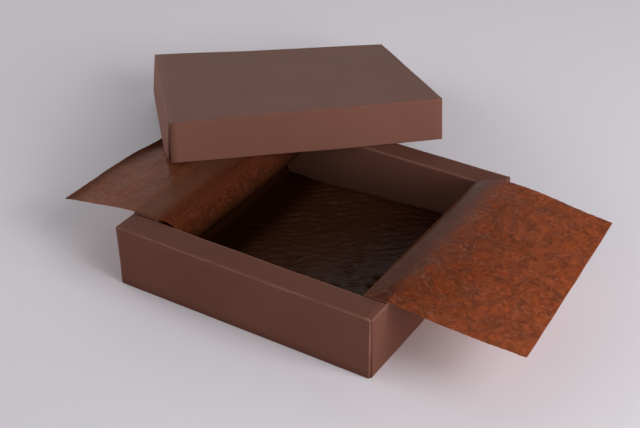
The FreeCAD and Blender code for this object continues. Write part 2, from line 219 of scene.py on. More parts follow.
@dataclass
class Panel:
    """A grid of points on the printed side of a card blank.

    Attributes:
        points: Places, shaped (rows, columns, 3).
        flat: The same points on the flat blank, shaped (rows, columns, 2).
        crease: Closeness to a fold, shaped (rows, columns).
        flipped: Whether the grid's own normals point to the back of the card.
    """

    points: np.ndarray
    flat: np.ndarray
    crease: np.ndarray
    flipped: bool = False

    @classmethod
    def carried(cls, path: FoldedPath, plane: Plane, low: Limit | None, high: Limit,
                flipped: bool = False) -> "Panel":
        """Carries a folded path straight along the third axis, between two limits.

        Args:
            path: The path, in the plane.
            plane: Which axes the path has and which one it is carried along.
            low: Lower limit, a number or a function of the path's points. Without one it is minus the upper.
            high: Upper limit, the same.
            flipped: Whether the normals have to be turned round.

        Returns:
            The panel. A point is the path's point in the plane, and along the third axis it lies a share of
            the way from low to high. No piece across is longer than the path's step.
        """
        line, closeness = path.sample()
        line = line[:, 0, :]
        top = high(line) if callable(high) else np.full(len(line), high)
        bottom = -top if low is None else low(line) if callable(low) else np.full(len(line), low)
        width = float(np.max(top - bottom))
        share = np.linspace(0.0, 1.0, max(2, math.ceil(width / path.step) + 1))
        along = bottom[:, None] + (top - bottom)[:, None] * share
        first, second, third = plane.value
        points = np.empty((*along.shape, 3))
        points[..., first] = line[:, 0, None]
        points[..., second] = line[:, 1, None]
        points[..., third] = along
        walked = np.concatenate([[0.0], np.cumsum(np.linalg.norm(np.diff(line, axis=0), axis=1))])
        flat = np.stack([np.broadcast_to(walked[:, None], along.shape), along], axis=2)
        crease = np.broadcast_to(closeness[:, None], along.shape).copy()
        return cls(points, flat, crease, flipped)

    def quads(self, first: int) -> np.ndarray:
        """Joins every four neighbouring points of the grid.

        Args:
            first: Vertex number of the grid's first point.

        Returns:
            Vertex numbers, shaped (quads, 4).
        """
        rows, columns = self.points.shape[:2]
        number = first + np.arange(rows * columns).reshape(rows, columns)
        quads = np.stack([number[:-1, :-1], number[1:, :-1], number[1:, 1:], number[:-1, 1:]], axis=2)
        quads = quads.reshape(-1, 4)
        return quads[:, ::-1] if self.flipped else quads


def make_piece(name: str, panels: Sequence[Panel], finishes: Sequence[bpy.types.Material], thickness: float,
               offset: float) -> bpy.types.Object:
    """Joins panels into one smooth-shaded sheet, and makes it a closed shell with a Solidify modifier.

    Args:
        name: Name of the object.
        panels: Grids in millimetres.
        finishes: The sheet's material and, where it has another, that of its cut edges.
        thickness: In millimetres.
        offset: -1 to lay the thickness behind the surface, 0 to lay half on either side.

    Returns:
        The object, at the origin. Its UV map is its flat pattern in metres, and its "crease" attribute says
        how close each vertex is to a fold.
    """
    points = np.concatenate([panel.points.reshape(-1, 3) for panel in panels]) * MM
    flat = np.concatenate([panel.flat.reshape(-1, 2) for panel in panels]) * MM
    crease = np.concatenate([panel.crease.reshape(-1) for panel in panels])
    firsts = np.cumsum([0] + [panel.crease.size for panel in panels])
    quads = np.concatenate([panel.quads(first) for panel, first in zip(panels, firsts)])

    mesh = bpy.data.meshes.new(name)
    mesh.vertices.add(len(points))
    mesh.vertices.foreach_set("co", points.ravel())
    mesh.loops.add(quads.size)
    mesh.loops.foreach_set("vertex_index", quads.ravel())
    mesh.polygons.add(len(quads))
    mesh.polygons.foreach_set("loop_start", np.arange(len(quads)) * 4)
    mesh.update(calc_edges=True)
    mesh.polygons.foreach_set("use_smooth", np.ones(len(quads), dtype=bool))
    uv = mesh.uv_layers.new(name="flat_pattern")
    uv.data.foreach_set("uv", flat[quads.ravel()].ravel())
    attribute = mesh.attributes.new("crease", "FLOAT", "POINT")
    attribute.data.foreach_set("value", crease.astype(np.float32))
    mesh.validate()
    for finish in finishes:
        mesh.materials.append(finish)

    piece = link_object(name, mesh)
    shell = piece.modifiers.new("thickness", "SOLIDIFY")
    shell.thickness = thickness * MM
    shell.offset = offset
    shell.use_even_offset = shell.use_quality_normals = True
    shell.material_offset_rim = len(finishes) - 1
    return piece


def link_object(name: str, data: bpy.types.ID) -> bpy.types.Object:
    """Makes an object of a mesh, a lamp or a camera, and puts it in the scene at the origin.

    Args:
        name: Name of the object.
        data: What it shows.

    Returns:
        The object.
    """
    thing = bpy.data.objects.new(name, data)
    bpy.context.collection.objects.link(thing)
    return thing


# ---- Materials ----


def math_operator(operation: str, reflected: bool = False) -> Callable[["Signal", Any], "Signal"]:
    """Makes the method behind one of Signal's operators.

    Args:
        operation: What the Math node does.
        reflected: Whether the signal is the second of the two values, as in 1 - mask.

    Returns:
        A method that adds the Math node.
    """

    def method(signal: "Signal", other: Any) -> "Signal":
        """A Math node of the two values, in the order in which they are written."""
        values = (other, signal) if reflected else (signal, other)
        return signal.recipe.signal("ShaderNodeMath", {"operation": operation}, dict(enumerate(values)))

    return method


@dataclass(frozen=True)
class Signal:
    """A value on its way through a material. Arithmetic on it adds Math nodes.

    Attributes:
        recipe: The material that it belongs to.
        socket: The output that carries it.
    """

    recipe: "Recipe"
    socket: bpy.types.NodeSocket

    __add__, __radd__ = math_operator("ADD"), math_operator("ADD", True)
    __sub__, __rsub__ = math_operator("SUBTRACT"), math_operator("SUBTRACT", True)
    __mul__, __rmul__ = math_operator("MULTIPLY"), math_operator("MULTIPLY", True)
    __truediv__, __rtruediv__ = math_operator("DIVIDE"), math_operator("DIVIDE", True)
    __pow__, __rpow__ = math_operator("POWER"), math_operator("POWER", True)

    def between(self, low: float, high: float) -> "Signal":
        """Eases from 0 where the value is low to 1 where it is high."""
        return self.recipe.signal("ShaderNodeMapRange", {"interpolation_type": "SMOOTHSTEP"},
                                  {"Value": self, "From Min": low, "From Max": high})

    def band(self, low: float, full: float, still_full: float, high: float) -> "Signal":
        """Eases from 0 at low to 1 at full, and from 1 at still_full back to 0 at high."""
        return self.between(low, full) * (1.0 - self.between(still_full, high))


class Recipe:
    """Builds the nodes of one material or world."""

    def __init__(self, owner: bpy.types.Material | bpy.types.World) -> None:
        """Takes a material or world and clears its nodes.

        Args:
            owner: The material or world.
        """
        owner.use_nodes = True
        owner.node_tree.nodes.clear()
        self.owner, self.tree = owner, owner.node_tree

    def node(self, kind: str, settings: dict[str, Any] | None = None,
             inputs: dict[Any, Any] | None = None) -> bpy.types.Node:
        """Adds a node.

        Args:
            kind: The node's type.
            settings: Its properties, set before its sockets.
            inputs: Values, Signals or output sockets, by the input's name or number.

        Returns:
            The node.
        """
        node = self.tree.nodes.new(kind)
        for name, value in (settings or {}).items():
            setattr(node, name, value)
        for key, value in (inputs or {}).items():
            socket = node.inputs[key]
            if isinstance(value, Signal):
                value = value.socket
            if isinstance(value, bpy.types.NodeSocket):
                self.tree.links.new(value, socket)
            else:
                socket.default_value = value
        return node

    def signal(self, kind: str, settings: dict[str, Any] | None, inputs: dict[Any, Any],
               output: str | int = 0) -> Signal:
        """One output of a new node, to be used in arithmetic."""
        return Signal(self, self.node(kind, settings, inputs).outputs[output])

    def parts(self, vector: bpy.types.NodeSocket) -> tuple[Signal, ...]:
        """A vector's X, Y and Z."""
        split = self.node("ShaderNodeSeparateXYZ", None, {0: vector})
        return tuple(Signal(self, part) for part in split.outputs)

    def place(self) -> bpy.types.NodeSocket:
        """Object coordinates, in metres in the row frame."""
        return self.node("ShaderNodeTexCoord").outputs["Object"]

    def pattern(self) -> bpy.types.NodeSocket:
        """The piece's own UV map: metres on the flat sheet."""
        return self.node("ShaderNodeUVMap", {"uv_map": "flat_pattern"}).outputs["UV"]

    def turned(self, vector: bpy.types.NodeSocket, degrees: float, scale: Sequence[float]) -> Any:
        """Turns a pattern about Z and then stretches it.

        Args:
            vector: Coordinates of the pattern.
            degrees: How far it is turned.
            scale: What the turned coordinates are multiplied by, along each axis.

        Returns:
            The new coordinates' socket.
        """
        turned = self.node("ShaderNodeVectorRotate", {"rotation_type": "Z_AXIS"},
                           {"Vector": vector, "Angle": math.radians(degrees)})
        stretched = self.node("ShaderNodeVectorMath", {"operation": "MULTIPLY"},
                              {0: turned.outputs[0], 1: scale})
        return stretched.outputs[0]

    def noise(self, vector: Any, scale: float, detail: float = 2.0, roughness: float = 0.5,
              distortion: float = 0.0) -> Signal:
        """Noise between 0 and 1, with its scale in features a metre."""
        return self.signal("ShaderNodeTexNoise", None, {
            "Vector": vector, "Scale": scale, "Detail": detail, "Roughness": roughness,
            "Distortion": distortion,
        })

    def attribute(self, name: str) -> Signal:
        """A number stored on the mesh."""
        return self.signal("ShaderNodeAttribute", {"attribute_name": name}, {}, "Fac")

    def blend(self, factor: Any, first: Any, second: Any) -> bpy.types.NodeSocket:
        """A colour between two: the first where the factor is 0, the second where it is 1."""
        node = self.node("ShaderNodeMix", {"data_type": "RGBA"}, {0: factor, 6: first, 7: second})
        return node.outputs[2]

    def bump(self, height: Signal, distance: float, strength: float) -> Any:
        """A normal from a height in which 1 stands for the distance, in millimetres."""
        inputs = {"Height": height, "Distance": distance * MM, "Strength": strength}
        return self.node("ShaderNodeBump", None, inputs).outputs[0]

    def surface(self, inputs: dict[str, Any]) -> bpy.types.NodeSocket:
        """A Principled shader."""
        return self.node("ShaderNodeBsdfPrincipled", None, inputs).outputs[0]

    def finish(self, shader: bpy.types.NodeSocket) -> bpy.types.Material:
        """Sends a shader to the output."""
        self.node("ShaderNodeOutputMaterial", None, {"Surface": shader})
        return self.owner


@dataclass(frozen=True)
class CardFinish:
    """Dyed chocolate card, matt, with a fine felt texture, and fold crests paled by wear and a painted
    highlight.

    Attributes:
        name: The material's name.
        dark: Colour of the darker clouds.
        light: Colour of the lighter clouds.
        worn_highlit_crest: Colour of a fold's crest, worn and with a painted highlight.
        roughness: Of the flat card.
        wear_and_highlight: How much the folds' crests are paled by wear and a painted highlight.
        gloss: Specular level; the card has hardly any.
    """

    name: str
    dark: Colour = (0.098, 0.0383, 0.0262, 1.0)
    light: Colour = (0.112, 0.0458, 0.0322, 1.0)
    worn_highlit_crest: Colour = (0.21, 0.1, 0.075, 1.0)
    roughness: float = 0.6
    wear_and_highlight: float = 0.5
    gloss: float = 0.025

    def material(self) -> bpy.types.Material:
        """Mixes two tones by clouds, felt and fibres, and pales the crests of the folds in patches: wear,
        with a painted highlight.

        Returns:
            The finish of the card's printed side. Felt and fibres also dent its normal.
        """
        recipe = Recipe(bpy.data.materials.new(self.name))
        place = recipe.place()
        clouds = recipe.noise(place, 24.0, 3.0, 0.55)
        felt = recipe.noise(place, 900.0, 3.0, 0.6)
        fibres = recipe.noise(recipe.turned(recipe.pattern(), 12.0, (0.35, 1.6, 1.0)), 1500.0, 2.0, 0.6)
        tone = clouds.between(0.3, 0.7) * 0.6 + felt.between(0.25, 0.75) * 0.25 + fibres * 0.15
        crest = recipe.attribute("crease").between(0.5, 1.0)
        patches = recipe.noise(place, 60.0, 3.0, 0.6).between(0.3, 0.7)
        # Paler fold crests in patches: wear, and a painted highlight along the folds.
        wear_and_highlight = crest * (0.4 + 0.6 * patches) * self.wear_and_highlight
        return recipe.finish(recipe.surface({
            "Base Color": recipe.blend(wear_and_highlight, recipe.blend(tone, self.dark, self.light), self.worn_highlit_crest),
            "Roughness": self.roughness - crest * 0.08 + felt * 0.06,
            "Normal": recipe.bump(felt * 0.6 + fibres * 0.4, 0.05, 0.35),
            "Specular IOR Level": self.gloss,
        }))


@dataclass(frozen=True)
class CutEdgeFinish:
    """The card's cut edge: its paler core, streaked along its layers.

    Attributes:
        name: The material's name.
        dark: Colour between the fibres.
        light: Colour of the fibres.
    """

    name: str
    dark: Colour = (0.1, 0.036, 0.024, 1.0)
    light: Colour = (0.15, 0.064, 0.046, 1.0)

    def material(self) -> bpy.types.Material:
        """Mixes the two browns by a noise of loose fibres.

        Returns:
            The finish of the edge.
        """
        recipe = Recipe(bpy.data.materials.new(self.name))
        fibres = recipe.noise(recipe.place(), 1400.0, 3.0, 0.6)
        return recipe.finish(recipe.surface({
            "Base Color": recipe.blend(fibres.between(0.3, 0.7), self.dark, self.light),
            "Roughness": 0.85,
            "Normal": recipe.bump(fibres, 0.04, 0.4),
            "Specular IOR Level": 0.1,
        }))


class FilmZones:
    """How the film lies, as masks between 0 and 1."""

    def __init__(self, recipe: Recipe) -> None:
        """Works the masks out from places in the frame, in metres, and from the mesh's own attribute.

        Args:
            recipe: The film's.
        """
        x, y, z = recipe.parts(recipe.place())
        past_rim = (-0.0735, -0.0695)                           # from the outer side of the left rim inwards
        before_fold = (y - x * 1.7).between(-0.1605, -0.1515)   # on the near side of the right slanting fold
        self.crumpled = recipe.attribute("crease")              # 1 on the roll, 0.5 on and past the left rim
        self.creased = self.crumpled.between(0.0, 0.5)          # on the roll and left of it alike
        self.matt = self.crumpled.between(0.5, 1.0)             # on the roll alone
        self.nose_shade = self.matt * (1.0 - z.between(0.02, 0.033))  # low on the roll, where the film is doubled: painted shade goes here
        self.laid = 1.0 - z.between(0.011, 0.019)               # down on the tray's floor, which also gets painted shade
        self.sheltered = 1.0 - x.between(-0.054, -0.009)        # at the tray's left end, in little light: where the floor gets painted shade
        self.outside = 1.0 - x.between(*past_rim)               # out beyond the left rim
        self.backed_and_sheen = x.band(*past_rim, -0.05, -0.04)           # on the left rim, with card right behind; its colour there gets a painted sheen
        self.shoulder = x.band(-0.063, -0.055, -0.052, -0.042)  # where it leaves that rim for the roll: a painted highlight band
        self.risen = x.band(0.046, 0.05, 0.066, 0.076) * before_fold    # on the right rim, before the fold
        self.hanging = x.between(0.055, 0.06) * (1.0 - before_fold)     # on the right flap, past the fold


class Pulp:
    """The film's texture on its flat sheet, in parts between 0 and 1."""

    def __init__(self, recipe: Recipe) -> None:
        """Makes the noises.

        Args:
            recipe: The film's.
        """
        flat = recipe.pattern()
        self.blobs = recipe.noise(flat, 170.0, 2.0, 0.5, 0.6).between(0.28, 0.72)       # some 6 mm wide
        self.grit = recipe.noise(flat, 430.0, 2.0, 0.6).between(0.3, 0.7)               # some 2 mm wide
        self.fine = recipe.noise(flat, 1200.0, 2.0, 0.6)                                # under 1 mm wide
        self.specks = recipe.noise(flat, 1300.0, 1.0, 0.5).between(0.64, 0.74)          # few and bright
        self.pale = self.curls(recipe.noise(flat, 240.0, 2.0, 0.5, 0.9), 0.0014)
        self.dark = self.curls(recipe.noise(flat, 165.0, 2.0, 0.5, 1.1), 0.0018)

    @staticmethod
    def curls(noise: Signal, width: float) -> Signal:
        """Curly fibres: 1 where the noise is 0.5, and 0 from where its squared distance is the width."""
        away = noise - 0.5
        return 1.0 - (away * away).between(0.0, width)


@dataclass(frozen=True)
class GlassineFinish:
    """Translucent brown glassine: dark over card, glowing orange where light comes from below.

    Attributes:
        name: The material's name.
        surface: Colour that the film sends back from its front, at its darkest.
        flecks: The same where fibres lie close.
        rolled: The same as surface, on the crumpled roll.
        rolled_flecks: The same as flecks, on the crumpled roll.
        shaded: Painted shade: the same low on the roll, where the film is also doubled, and in part on the
            floor.
        hollow: Painted shade: the same on the floor beside and under the roll.
        glow: Colour that it passes on from behind.
        clear: Share of light that may pass, where the film is thinnest.
        dense: The same where it is thickest.
        sheen: Weight of the coat, where the film lies smooth.
    """

    name: str
    surface: Colour = (0.066, 0.0205, 0.0092, 1.0)
    flecks: Colour = (0.34, 0.15, 0.085, 1.0)
    rolled: Colour = (0.034, 0.0095, 0.0037, 1.0)
    rolled_flecks: Colour = (0.18, 0.05, 0.022, 1.0)
    shaded: Colour = (0.018, 0.0046, 0.0018, 1.0)
    hollow: Colour = (0.005, 0.0015, 0.0008, 1.0)
    glow: Colour = (0.78, 0.37, 0.19, 1.0)
    clear: float = 0.96
    dense: float = 0.22
    sheen: float = 0.41

    def front_colour(self, recipe: Recipe, zones: FilmZones, pulp: Pulp) -> bpy.types.NodeSocket:
        """What the film sends back from its front.

        Args:
            recipe: The film's.
            zones: How it lies.
            pulp: Its texture.

        Returns:
            The colour. Specks, curls and grain carry it from the ground colour to the flecks, on the roll
            between colours of its own. Painted sheen and a painted highlight lighten it on the left rim and
            the roll's shoulder; painted shade darkens it low on the roll, where the film is also doubled, and
            on the floor, most at its sheltered left end.
        """
        held = zones.laid + zones.backed_and_sheen + zones.risen
        fibres = pulp.specks * 0.6 + pulp.pale * (0.45 - 0.35 * held)
        fibres = fibres + pulp.fine.between(0.45, 0.75) * (0.08 + 0.3 * zones.crumpled)
        # Painted sheen and highlight: the creased term lightens the film on the roll and on and past the left
        # rim, the shoulder term a band where it leaves the rim.
        fibres = fibres + 0.09 * zones.creased * (1.0 - zones.laid) + zones.shoulder * 0.15
        # Painted sheen: the backed term lightens the film where it lies on the left rim.
        fibres = fibres + zones.backed_and_sheen * 0.22 + zones.matt * (pulp.grit - 0.5) * 0.16
        flat_part = recipe.blend(fibres, self.surface, self.flecks)
        rolled_part = recipe.blend(fibres, self.rolled, self.rolled_flecks)
        reddish = zones.matt + (1.0 - zones.matt) * zones.backed_and_sheen * 0.35
        colour = recipe.blend(reddish, flat_part, rolled_part)
        # Painted shade: darker low on the roll, where the film is also doubled, and on the tray's floor.
        colour = recipe.blend(zones.nose_shade * 0.85 + (1.0 - zones.nose_shade) * zones.laid * 0.5, colour, self.shaded)
        # Painted shade: nearly black on the floor at the tray's left end, beside and under the roll.
        return recipe.blend(zones.laid * zones.sheltered * 0.75, colour, self.hollow)

    def passed_on(self, zones: FilmZones, pulp: Pulp) -> Signal:
        """The share of light that comes through from behind.

        Args:
            zones: How the film lies.
            pulp: Its texture.

        Returns:
            The share: it falls from clear to dense with the pulp's density, which the crumpled roll evens
            out, and again where something lies behind the film.
        """
        density = 0.24 + pulp.blobs * 0.34 + pulp.grit * 0.16 + pulp.dark * 0.16 - pulp.pale * 0.08
        density = 0.5 + (density - 0.5) * (1.0 - 0.75 * zones.crumpled)
        share = self.clear + 0.2 * pulp.specks - density * (self.clear - self.dense)
        # Low on the roll less light passes: the doubled film, and painted shade.
        share = share * (1.0 - 0.9 * zones.nose_shade) * (1.0 - 0.7 * zones.laid)
        return share * (1.0 - 0.35 * zones.backed_and_sheen - 0.16 * zones.outside - 0.4 * zones.risen)

    def material(self) -> bpy.types.Material:
        """Mixes the film's front with a translucent shader.

        Returns:
            The finish of the film. Its coat is nearly gone on the roll and weaker where it is held or hangs.
        """
        recipe = Recipe(bpy.data.materials.new(self.name))
        zones, pulp = FilmZones(recipe), Pulp(recipe)
        height = pulp.blobs * 0.12 + pulp.pale * 0.1 + pulp.fine * (0.3 + 0.7 * zones.matt)
        normal = recipe.bump(height + zones.matt * pulp.grit * 1.3, 0.2, 0.6)
        dulled = 0.4 * zones.backed_and_sheen + 0.35 * zones.risen + 0.12 * zones.laid
        dulled = dulled + 0.3 * zones.hanging + 0.2 * zones.outside
        front = recipe.surface({
            "Base Color": self.front_colour(recipe, zones, pulp), "Roughness": 0.6, "Normal": normal,
            "Specular IOR Level": 0.0, "Coat Roughness": 0.34,
            "Coat Weight": (self.sheen - 0.4 * zones.matt) * (1.0 - dulled),
        })
        behind = recipe.node("ShaderNodeBsdfTranslucent", None, {"Color": self.glow, "Normal": normal})
        mixed = recipe.node("ShaderNodeMixShader", None, {
            0: self.passed_on(zones, pulp), 1: front, 2: behind.outputs[0],
        })
        return recipe.finish(mixed.outputs[0])


@dataclass(frozen=True)
class TableFinish:
    """The plain pale surface that the box stands on.

    Attributes:
        name: The material's name.
        colour: What the camera and a glossy surface see of it.
        thrown: What it throws back on the box.
    """

    name: str = "pale_table"
    colour: Colour = (0.68, 0.645, 0.69, 1.0)
    thrown: Colour = (0.84, 0.8, 0.84, 1.0)

    def material(self) -> bpy.types.Material:
        """Makes a matt surface with the faintest unevenness.

        Returns:
            The finish of the table.
        """
        recipe = Recipe(bpy.data.materials.new(self.name))
        drift = recipe.noise(recipe.place(), 1.5, 1.0, 0.5)
        darker = tuple(0.985 * c for c in self.colour[:3]) + (1.0,)
        paths = recipe.node("ShaderNodeLightPath").outputs
        seen = Signal(recipe, paths["Is Camera Ray"]) + Signal(recipe, paths["Is Glossy Ray"])
        return recipe.finish(recipe.surface({
            "Base Color": recipe.blend(seen, self.thrown, recipe.blend(drift, self.colour, darker)),
            "Roughness": 0.7,
            "Specular IOR Level": 0.25,
        }))


# ---- The three pieces of the box ----


@dataclass
class Tray:
    """The tray: floor, end panels, and four hollow walls folded from one blank.

    Attributes:
        length: Outside, end panel to end panel.
        width: Outside, long wall to long wall.
        end_height: Table to the end walls' rims.
        end_rise: How far the end walls stand above the long ones.
        near_rim: Width of the near wall's rim, whose inner wall leans in.
        far_rim: Width of the far wall's rim, whose inner wall leans out.
        rim: Width of the left wall's rim, and of every hollow wall at its foot.
        right_rim: Width of the right wall's rim, whose inner wall leans out.
        card: Thickness of the board.
        fold: Outside radius of a fold.
        shoulder: Height of an end panel's shoulders above the long walls' rims.
        reveal: Set-back of the end panel's cut edge from the corner, at the rim.
        relief: The same edge, set back further at the table.
        turned_in: How far a long wall's corner tabs lean in behind the end panel at the table.
        seam: Clearance between panels that meet edge to edge.
        layer_gap: Clearance between layers of board that lie on one another.
        flap: Width of the flaps on the floor.
        foot_fold: Radius of an inner wall's fold at the floor.
        bent_in: How far an end panel's shoulder is bent in over the rim.
        bend: Radius of that bend.
        rim_short: How far a long wall's rim ends before the end panel's outside.
        start_drop: How far below its rim an end wall's rolled part starts.
        sag: Dip of the near wall's rim at its middle.
        bow_x: Soft waves of the end walls.
        bow_y: Soft waves of the long walls.
    """

    length: float
    width: float
    end_height: float
    end_rise: float = 0.6
    near_rim: float = 14.3
    far_rim: float = 12.9
    rim: float = 13.5
    right_rim: float = 12.0
    card: float = 0.45
    fold: float = 0.65
    shoulder: float = 0.05
    reveal: float = 0.25
    relief: float = 1.1
    turned_in: float = 1.3
    seam: float = 0.1
    layer_gap: float = 0.04
    flap: float = 14.0
    foot_fold: float = 0.3
    bent_in: float = 0.9
    bend: float = 0.7
    rim_short: float = 0.5
    start_drop: float = 0.8
    sag: float = 0.35
    bow_x: Waves = Waves(35, 90, 0, 20, 9, 12)
    bow_y: Waves = Waves(35, 90, 0, 20, 9, 11)
    name: str = "tray_card"

    @classmethod
    def from_frame(cls) -> "Tray":
        """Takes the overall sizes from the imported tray."""
        low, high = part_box("tray")
        return cls(*((high - low) / MM))

    @property
    def wall_height(self) -> float:
        """Table to the long walls' rims."""
        return self.end_height - self.end_rise

    def long_wall(self, side: int) -> list[Panel]:
        """One long wall: outer wall with its corner tabs, bottom fold, and rim with inner wall and flap.

        Args:
            side: -1 for the near wall and 1 for the far one.

        Returns:
            Its panels.
        """
        half_x, half_y = self.length / 2, self.width / 2
        fold, card, rim_z = self.fold, self.card, self.wall_height
        rim = self.near_rim if side < 0 else self.far_rim
        panel_x = half_x - card - self.layer_gap
        top_y, foot_y = half_y - rim, half_y - self.rim
        outward = side > 0

        corners = [(-panel_x, foot_y + card), (-panel_x, half_y), (panel_x, half_y), (panel_x, foot_y + card)]
        plan = FoldedPath(np.array(corners) * (1, side), (0, fold, fold, 0))
        outer = Panel.carried(plan, Plane.XY, fold, rim_z - fold, flipped=outward)
        self.turn_in(outer)

        corners = [(half_y - fold, 0), (half_y, 0), (half_y, fold)]
        bottom = FoldedPath(np.array(corners) * (side, 1), (0, fold, 0))
        foot = Panel.carried(bottom, Plane.YZ, None, panel_x - fold, flipped=not outward)

        corners = [(half_y, rim_z - fold), (half_y, rim_z), (top_y, rim_z), (foot_y, card * 2),
                   (foot_y - self.flap, card * 2)]
        section = FoldedPath(np.array(corners) * (side, 1), (0, fold, fold, self.foot_fold, 0))

        def half_length(line: np.ndarray) -> np.ndarray:
            """Half the length of the blank here: from the rim's to the cavity's, and then mitred to a tip."""
            reach = half_x - self.rim_short - (self.rim - self.rim_short) * smooth_step(
                line[:, 1], card * 2 + 1.0, card * 2 + 0.2)
            return reach - np.clip(foot_y - np.abs(line[:, 0]), 0, self.flap)

        return [outer, foot, Panel.carried(section, Plane.YZ, None, half_length, flipped=not outward)]

    def turn_in(self, wall: Panel) -> None:
        """Leans a long wall's corner tabs in, the more the lower and the further from the corner fold.

        The lean starts just past the fold and is full 3.5 mm from it.

        Args:
            wall: The outer wall with its tabs.
        """
        x, y, z = (wall.points[..., i] for i in range(3))
        past_fold = smooth_step(self.width / 2 - np.abs(y), self.fold * 0.6, 3.5)
        low = 1 - z / self.wall_height
        wall.points[..., 0] = x - np.sign(x) * self.turned_in * past_fold * low

    def end_panels(self) -> Panel:
        """The floor and both end panels, folded as one strip.

        Returns:
            Their panel. Its cut edges lean away from the corners towards the table, and each end panel's
            shoulder is bent in over the end of the long wall's rim.
        """
        half_x, shoulder_z = self.length / 2, self.wall_height + self.shoulder
        tip = half_x - self.bent_in
        corners = [(-tip, shoulder_z), (-half_x, shoulder_z), (-half_x, 0), (half_x, 0),
                   (half_x, shoulder_z), (tip, shoulder_z)]
        path = FoldedPath(np.array(corners), (0, self.bend, self.fold, self.fold, self.bend, 0))
        edge = self.width / 2 - self.reveal

        def half_width(line: np.ndarray) -> np.ndarray:
            """Half the width of the blank here.

            Args:
                line: The path's points.

            Returns:
                Half the width: even on the floor, and leaning in towards the table on the end panels.
            """
            on_floor = (np.abs(line[:, 0]) < half_x - 2 * self.fold) & (line[:, 1] < 1.0)
            leaning = edge - self.relief * (1 - line[:, 1] / self.end_height)
            return np.where(on_floor, self.width / 2 - self.fold, leaning)

        return Panel.carried(path, Plane.XZ, None, half_width, flipped=True)

    def rolled_rim(self, side: int) -> Panel:
        """One end wall's rim, inner wall and flap, rolled over between the long walls.

        Args:
            side: -1 for the left wall and 1 for the right one.

        Returns:
            Its panel.
        """
        half_x, half_y = self.length / 2, self.width / 2
        cavity_x, card = half_x - self.rim, self.card
        tip_x = cavity_x - self.flap
        top_x = half_x - (self.right_rim if side > 0 else self.rim)
        corners = [(half_x, self.wall_height - self.start_drop), (half_x, self.end_height),
                   (top_x, self.end_height), (cavity_x, card * 2), (tip_x, card * 2)]
        path = FoldedPath(np.array(corners) * (side, 1), (0, self.fold, self.fold, self.foot_fold, 0))

        def limit(line: np.ndarray, rim: float) -> np.ndarray:
            """How far the blank reaches here, beside a long wall that leans from its foot to its rim.

            Args:
                line: The path's points.
                rim: Width of the long wall's rim.

            Returns:
                The reach. It laps over the rim by a little at the top and is mitred on the flap.
            """
            lean = (rim - self.rim) * line[:, 1] / self.end_height
            mitre = np.clip(cavity_x - np.abs(line[:, 0]), 0, self.flap)
            lap = 0.25 * smooth_step(line[:, 1], self.end_height - 1.5, self.end_height - 0.5)
            return half_y - self.rim - lean - self.seam + lap - mitre

        return Panel.carried(path, Plane.XZ, lambda line: -limit(line, self.near_rim),
                             lambda line: limit(line, self.far_rim), flipped=side > 0)

    def settle(self, panels: Sequence[Panel]) -> None:
        """Eases the card out of true, as handled card is: long soft waves, and a near rim that dips.

        With the share t = 2x/length, the rim dips by its sag times 1 - t^2.

        Args:
            panels: All of the tray's.
        """
        for panel in panels:
            x, y, z = (panel.points[..., i] for i in range(3))
            high = z / self.end_height
            middle = 1 - (2 * x / self.length) ** 2
            near = smooth_step(-y, 30.0, 60.0)
            panel.points[..., 2] = z - self.sag * near * middle * high * high
            panel.points[..., 1] = y + 0.12 * high * self.bow_y.at(x, z)
            panel.points[..., 0] = x + 0.10 * high * self.bow_x.at(y, z)

    def build(self, card: bpy.types.Material, cut: bpy.types.Material) -> bpy.types.Object:
        """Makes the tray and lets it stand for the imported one.

        Args:
            card: Finish of the board.
            cut: Finish of its cut edges.

        Returns:
            The piece.
        """
        panels = [*self.long_wall(-1), *self.long_wall(1), self.end_panels(), self.rolled_rim(-1),
                  self.rolled_rim(1)]
        self.settle(panels)
        piece = make_piece(self.name, panels, (card, cut), self.card, -1.0)
        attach(piece, "root")
        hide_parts("tray")
        return piece


